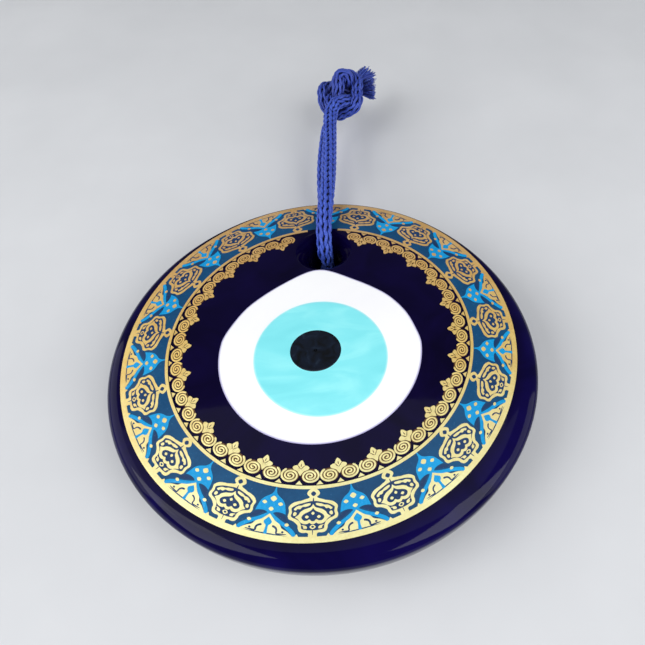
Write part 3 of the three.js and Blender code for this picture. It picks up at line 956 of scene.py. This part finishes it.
def stroke(pile, line, width, height, slot=GOLD_SLOT, blunt=True):
    """A drawn line of paint with a low rounded section and round ends."""
    line = np.asarray(line, float)
    along = arc_lengths(line)
    width = np.interp(along / along[-1], np.linspace(0, 1, len(width)), width)
    if blunt:
        from_end = np.minimum(along, along[-1] - along)
        half = width / 2
        width = width * np.sqrt(np.clip(1 - np.clip(1 - (from_end + 0.02) / half, 0, 1) ** 2, 0.001, 1))
    tangent = np.gradient(line, axis=0)
    tangent /= np.linalg.norm(tangent, axis=1)[:, None] + 1e-12
    side = np.stack((-tangent[:, 1], tangent[:, 0]), 1)
    parts = ((-0.5, -SUNK), (-0.46, 0.7 * height), (0, height), (0.46, 0.7 * height), (0.5, -SUNK))
    sections = [on_dome(line + side * (width * across)[:, None], lift) for across, lift in parts]
    points = np.stack(sections, 1).reshape(-1, 3)
    faces = [f[::-1] for f in grid_faces(len(line), len(parts), close_columns=False)]
    pile.add(to_row(points), faces, slot)


def sided(points, side):
    """The points as drawn for side 1, or mirrored in the motif's axis for side -1."""
    return [(side * u, v) for u, v in points]


def both_sides(points):
    """A closed outline from its right half, given from the foot upwards."""
    return list(points) + sided(points, -1)[::-1]


def shape(pile, outline, axis, height, slot=GOLD_SLOT):
    """A smooth patch on the teal band."""
    fill(pile, rounded(on_band(outline, axis)), height, slot)


def diamond(pile, place, half, axis, height, slot=GOLD_SLOT):
    """A soft diamond at a place on the teal band, with its half width in degrees and its half height."""
    (u, v), (half_u, half_v) = place, half
    corners = [(u + half_u, v), (u, v + half_v), (u - half_u, v), (u, v - half_v)]
    fill(pile, rounded(on_band(corners, axis), 0.08), height, slot)


# The right half of a medallion's plate
MEDALLION = [
    (0.75, 0.0), (1.5, 0.03), (2.0, 0.09), (1.7, 0.135), (1.1, 0.17), (1.6, 0.2), (2.7, 0.225),
    (3.6, 0.25), (4.6, 0.265), (6.0, 0.305), (6.85, 0.365), (7.1, 0.41), (6.85, 0.47), (6.8, 0.52),
    (6.95, 0.58), (6.6, 0.645), (5.6, 0.675), (4.9, 0.705), (4.0, 0.77), (3.85, 0.83), (3.4, 0.895),
    (2.5, 0.92), (1.6, 0.915), (1.1, 0.94), (0.95, 1.01),
]
# The dark inside of the plate, the gold heart and leaves on it and the heart's own dark inside
INSIDE = [
    (0.7, 0.262), (1.5, 0.272), (2.9, 0.298), (4.5, 0.335), (5.7, 0.385), (6.2, 0.425), (5.95, 0.5),
    (6.1, 0.575), (5.6, 0.615), (4.6, 0.64), (3.6, 0.69), (3.1, 0.76), (2.85, 0.84), (1.7, 0.862),
    (0.8, 0.87),
]
HEART = [
    (0, 0.325), (0, 0.325), (0.6, 0.385), (1.5, 0.412), (2.6, 0.44), (3.6, 0.495), (4.0, 0.55),
    (4.9, 0.605), (4.9, 0.605), (4.0, 0.65), (3.4, 0.7), (2.5, 0.738), (1.5, 0.738), (0.9, 0.715),
    (0.4, 0.74),
]
HEART_INSIDE = [
    (0, 0.405), (0, 0.405), (0.5, 0.455), (1.3, 0.49), (2.3, 0.525), (3.0, 0.575), (3.05, 0.625),
    (2.4, 0.67), (1.6, 0.67), (0.9, 0.645), (0.35, 0.68),
]
UPPER_LEAF = [
    (0.9, 0.305), (2.4, 0.322), (3.3, 0.352), (4.3, 0.362), (5.2, 0.405), (5.5, 0.445), (4.9, 0.462),
    (4.5, 0.43), (3.7, 0.43), (3.1, 0.385), (2.1, 0.378), (0.9, 0.345),
]
SIDE_LEAF = [(5.1, 0.492), (5.5, 0.52), (5.45, 0.57), (4.85, 0.57), (4.55, 0.52)]
LOWER_LEAF = [(3.0, 0.765), (2.5, 0.79), (2.4, 0.83), (1.5, 0.835), (1.6, 0.79), (2.2, 0.77)]
STEM = [(0, 0.19), (0, 0.22), (0, 0.25), (0, 0.275)]
FOOT = [(0, 0.86), (0, 0.9), (0, 0.93), (0, 0.965)]


def make_medallion(pile, axis):
    """A lobed gold cartouche with a dark inside, a gold heart between leaves and a small ring at its foot."""
    shape(pile, both_sides(MEDALLION), axis, FIRST_COAT)
    shape(pile, both_sides(INSIDE), axis, SECOND_COAT, DARK_SLOT)
    shape(pile, both_sides(HEART), axis, THIRD_COAT)
    shape(pile, both_sides(HEART_INSIDE), axis, FOURTH_COAT, DARK_SLOT)
    for side in (1, -1):
        for leaf in (UPPER_LEAF, SIDE_LEAF, LOWER_LEAF):
            shape(pile, sided(leaf, side), axis, THIRD_COAT)
        diamond(pile, (side * 1.65, 0.595), (0.52, 0.032), axis, TOP_COAT)
    diamond(pile, (0, 0.52), (0.46, 0.034), axis, TOP_COAT)
    diamond(pile, (0, 0.8), (0.8, 0.046), axis, THIRD_COAT)
    diamond(pile, (0, 0.8), (0.4, 0.022), axis, FOURTH_COAT, DARK_SLOT)
    diamond(pile, (0, 0.102), (0.8, 0.052), axis, SECOND_COAT, DARK_SLOT)
    stroke(pile, on_band(STEM, axis), (0.2, 0.34), VEIN_COAT, DARK_SLOT)
    stroke(pile, on_band(FOOT, axis), (0.34, 0.14), SECOND_COAT, DARK_SLOT)


# The right halves of a floret: bud, arm, crest, dark wing, and the drop and hooks drawn on the crest
BUD = [
    (0.12, 0.0), (0.3, 0.06), (0.5, 0.11), (1.2, 0.175), (2.7, 0.25), (3.6, 0.33), (4.05, 0.43),
    (4.4, 0.56), (4.4, 0.56), (3.4, 0.535), (2.2, 0.525), (1.2, 0.54), (0.6, 0.575), (0.5, 0.62),
]
ARM = [(0.2, 0.565), (1.6, 0.645), (3.0, 0.715), (4.75, 0.79), (6.1, 0.87), (6.9, 0.93), (7.5, 1.01)]
CREST = [
    (0, 0.575), (0, 0.575), (1.1, 0.655), (2.0, 0.715), (3.3, 0.775), (4.0, 0.85), (5.3, 0.9),
    (6.3, 0.955), (7.0, 1.01), (7.0, 1.01),
]
WING = [
    (5.5, 0.71), (5.5, 0.71), (4.3, 0.69), (3.0, 0.63), (2.0, 0.575), (1.2, 0.545), (2.2, 0.535),
    (3.6, 0.56), (4.7, 0.62),
]
CREST_DROP = [
    (0, 0.645), (0, 0.645), (0.6, 0.69), (1.1, 0.74), (0.85, 0.79), (0.38, 0.82), (0.33, 0.9),
    (0.42, 0.99),
]
HOOK = [(5.4, 0.965), (3.9, 0.968), (2.85, 0.965), (2.75, 0.9), (2.5, 0.86), (1.9, 0.83), (1.4, 0.825)]
TOOTH = [(7.5, 1.0), (8.5, 1.0), (8.0, 0.945)]


def make_floret(pile, axis):
    """A bud hanging between two arms, under a pointed gold crest that grows out of the border."""
    for side in (1, -1):
        shape(pile, sided(WING, side), axis, WING_COAT, DARK_SLOT)
        arm = spline(on_band(sided(ARM, side), axis), 0.14)
        stroke(pile, arm, (0.6, 0.75, 0.8, 0.85, 0.9), ARM_COAT, BLUE_SLOT, False)
    shape(pile, both_sides(BUD), axis, BUD_COAT, BLUE_SLOT)
    shape(pile, both_sides(CREST), axis, SECOND_COAT)
    shape(pile, both_sides(CREST_DROP), axis, CREST_COAT, BLUE_SLOT)
    for side in (1, -1):
        hook = spline(on_band(sided(HOOK, side), axis), 0.1)
        stroke(pile, hook, (0.16, 0.36, 0.46, 0.46, 0.44), CREST_COAT, DARK_SLOT)
        diamond(pile, (side * 4.35, 0.925), (0.32, 0.022), axis, CREST_COAT, DARK_SLOT)
        diamond(pile, (side * 2.4, 0.355), (0.72, 0.038), axis, SECOND_COAT)
        diamond(pile, (side * 5.15, 0.77), (0.6, 0.034), axis, CREST_DOT_COAT)
        fill(pile, on_band(sided(TOOTH, side), axis), SECOND_COAT)
    diamond(pile, (0, 0.477), (0.72, 0.042), axis, SECOND_COAT)
    diamond(pile, (0, 0.257), (0.95, 0.058), axis, SECOND_COAT)


# The right half of a palmette, with the mark, the split and the vein drawn on it
PALMETTE = [
    (0, 0.65), (0.6, 0.655), (1.05, 0.664), (1.4, 0.672), (2.3, 0.675), (3.1, 0.682), (2.7, 0.692),
    (1.2, 0.7), (0.5, 0.712), (0, 0.72),
]
PALMETTE_MARK = [(0.4, 0.684), (1.05, 0.686), (0.55, 0.698)]
PALMETTE_SPLIT = [(0.1, 0.69), (0.9, 0.679), (1.5, 0.6725)]
PALMETTE_VEIN = [(0, 0.665), (0, 0.673), (0, 0.68)]


def make_scroll(pile, axis, side):
    """A round brown ground with a gold spiral on it."""
    turn = np.linspace(0, 2 * np.pi * SCROLL_TURNS, 130)
    shrink = 1 - SCROLL_SHRINK * turn / turn[-1]
    u = SCROLL_OFFSET + SCROLL_WIDTH * shrink * np.cos(SCROLL_START + turn)
    v = SCROLL_RADIUS + SCROLL_HEIGHT * shrink * np.sin(SCROLL_START + turn)
    around = np.linspace(0, 2 * np.pi, 28, endpoint=False)
    ground_u = SCROLL_OFFSET + SCROLL_WIDTH * np.cos(around)
    ground_v = SCROLL_RADIUS + SCROLL_HEIGHT * np.sin(around)
    fill(pile, on_ring(np.stack((side * ground_u, ground_v), 1), axis), GROUND_COAT, BROWN_SLOT)
    spiral = on_ring(np.stack((side * u, v), 1), axis)
    stroke(pile, spiral, (0.46, 0.42, 0.38, 0.34), SECOND_COAT)


def make_lace_pair(pile, axis):
    """Two scrolls that turn apart, with a palmette hanging between them and a tooth above each gap."""
    for side in (-1, 1):
        make_scroll(pile, axis, side)
    fill(pile, rounded(on_ring(both_sides(PALMETTE), axis)), FIRST_COAT)
    for side in (-1, 1):
        mark = rounded(on_ring(sided(PALMETTE_MARK, side), axis), 0.08)
        fill(pile, mark, VEIN_COAT, BROWN_SLOT)
        split = spline(on_ring(sided(PALMETTE_SPLIT, side), axis), 0.1)
        stroke(pile, split, (0.16, 0.2, 0.12), VEIN_COAT, BROWN_SLOT)
    stroke(pile, on_ring(PALMETTE_VEIN, axis), (0.12, 0.26, 0.3), VEIN_COAT, BROWN_SLOT)
    for at in (0, LACE_PITCH / 2):
        tooth = [(at - 1.15, 0.758), (at, 0.741), (at + 1.15, 0.758)]
        fill(pile, on_ring(tooth, axis), FIRST_COAT)


def ring_arc(pile, inner, outer, first, last, height):
    """A flat ring, or a part of one, between two shares of the border's radius."""
    whole = last - first >= 360
    angles = np.radians(np.linspace(first, last, int((last - first) * 1.5), endpoint=not whole))
    direction = np.stack((np.cos(angles), np.sin(angles)), 1)
    stops = [(inner, -SUNK)] + [(share, height) for share in np.linspace(inner, outer, 5)] + [(outer, -SUNK)]
    rows = [on_dome(BORDER_RADIUS * share * direction, lift) for share, lift in stops]
    faces = [f[::-1] for f in grid_faces(len(rows), len(angles), close_columns=whole)]
    pile.add(to_row(np.vstack(rows)), faces)


def finish_print(pile, name, node, materials):
    """The paint of one decal node, as one piece on the disc."""
    piece = pile.build(name, materials, smooth=False)
    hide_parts(node)
    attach(piece, "disc")


def make_decal():
    """The ring decal: band, line, border and lace, then the medallions with the florets between them."""
    band, line, border, lace = Pile(), Pile(), Pile(), Pile()
    ring_arc(band, BAND_INNER, BAND_OUTER, 0, 360, BAND_COAT)
    finish_print(band, "print_teal_band", "decal_teal_band", [TEAL])
    ring_arc(line, LINE_INNER, BAND_INNER, *LINE_ARC, FIRST_COAT)
    finish_print(line, "print_gold_line", "decal_gold_line", PRINT)
    ring_arc(border, BAND_OUTER, 1.0, 0, 360, SECOND_COAT)
    finish_print(border, "print_gold_border", "decal_gold_border", PRINT)
    for i in range(LACE_PAIRS):
        make_lace_pair(lace, FIRST_PALMETTE + LACE_PITCH * i)
    finish_print(lace, "print_gold_lace", "decal_gold_lace", PRINT)
    for i in range(MOTIFS):
        medallion, floret = Pile(), Pile()
        make_medallion(medallion, FIRST_MEDALLION + MOTIF_PITCH * i)
        make_floret(floret, FIRST_MEDALLION + MOTIF_PITCH * (i + 0.5))
        finish_print(medallion, f"print_medallion_{i + 1:02d}", f"decal_medallion_{i + 1:02d}", PRINT)
        finish_print(floret, f"print_floret_{i + 1:02d}", f"decal_floret_{i + 1:02d}", PRINT)


bpy.context.scene.view_settings.view_transform = "Standard"
make_camera()
make_cords()
make_glass()
make_eye()
make_decal()
make_backdrop()
make_world()
make_lights()
